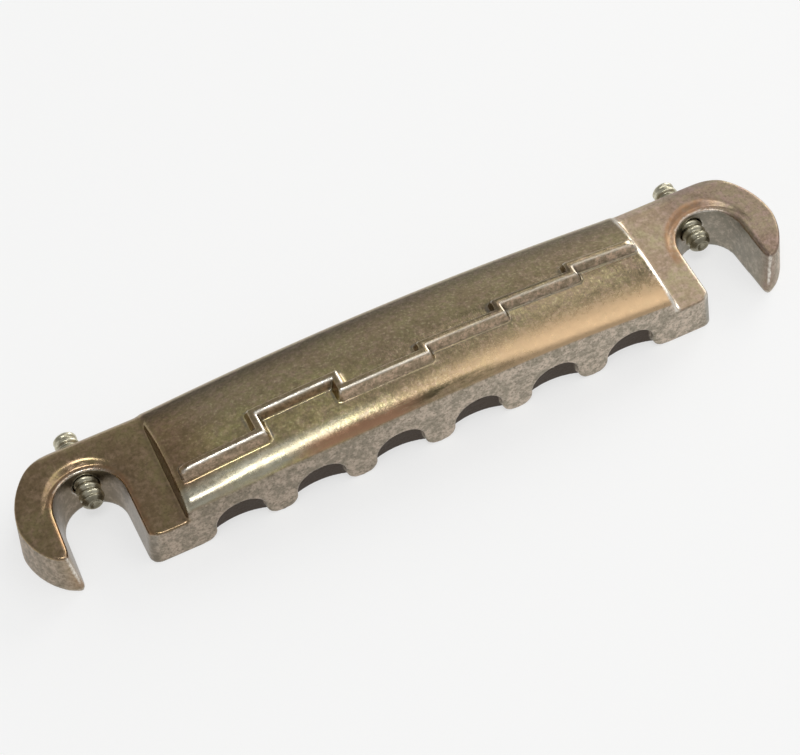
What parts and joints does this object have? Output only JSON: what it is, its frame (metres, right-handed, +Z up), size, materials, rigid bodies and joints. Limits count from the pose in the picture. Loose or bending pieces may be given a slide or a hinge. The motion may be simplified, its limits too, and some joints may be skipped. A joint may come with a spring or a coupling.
{
  "type": "wraparound tailpiece",
  "caption": "Cast compensated wraparound bridge-tailpiece with open hook ears for studs, arched ball-end pockets, a stepped saddle ridge and intonation set screws.",
  "frame": {"origin": "on the flat underside, midway between the two stud axes", "axes": "+X along the bar towards the bass side, +Y towards the tail of the guitar, +Z up from the underside"},
  "size_m": [0.1016, 0.0191, 0.012],
  "materials": {
    "plated_casting": "aged nickel plate over a zinc casting: polished but tarnished to a brownish olive on top, dull and cast-textured on the front face",
    "screw_nickel": "tarnished nickel-plated steel set screw"
  },
  "bodies": {
    "casting": {"bar": "plated_casting"},
    "treble_screw": {"intonation_screw_treble": "screw_nickel"},
    "bass_screw": {"intonation_screw_bass": "screw_nickel"}
  },
  "joints": [
    {"name": "treble_screw_travel", "type": "slide", "parent": "casting", "child": "treble_screw", "axis": [0, 1, 0], "range_m": [-0.0024, 0.0032]},
    {"name": "bass_screw_travel", "type": "slide", "parent": "casting", "child": "bass_screw", "axis": [0, 1, 0], "range_m": [-0.0024, 0.0032]}
  ]
}
